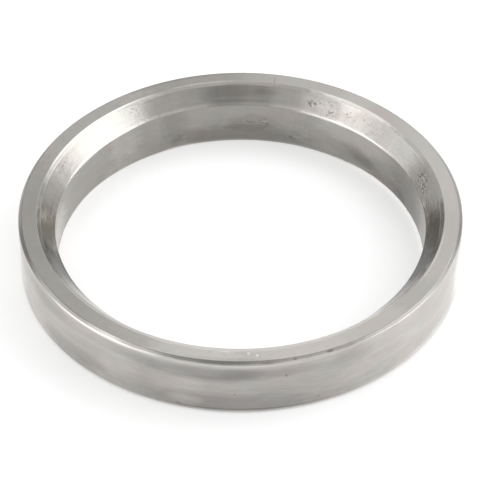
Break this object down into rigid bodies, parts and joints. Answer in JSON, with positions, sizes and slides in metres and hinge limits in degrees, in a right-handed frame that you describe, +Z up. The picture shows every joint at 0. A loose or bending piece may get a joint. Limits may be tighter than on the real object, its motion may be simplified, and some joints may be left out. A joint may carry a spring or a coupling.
{
  "type": "hub centric ring",
  "caption": "Plain turned aluminium spacer ring with a round bore, a wide bevel at its mouth and softened edges; it centres a wheel on a smaller hub.",
  "frame": {"origin": "centre of the back face, on which the ring lies", "axes": "+Z up along the bore, out of the bevelled mouth; the ring is the same all round, so X and Y are free"},
  "size_m": [0.0672, 0.0672, 0.01],
  "materials": {
    "turned_aluminium": "fine turned, satin, lightly marked"
  },
  "bodies": {
    "root": {"hub_ring": "turned_aluminium"}
  },
  "joints": []
}
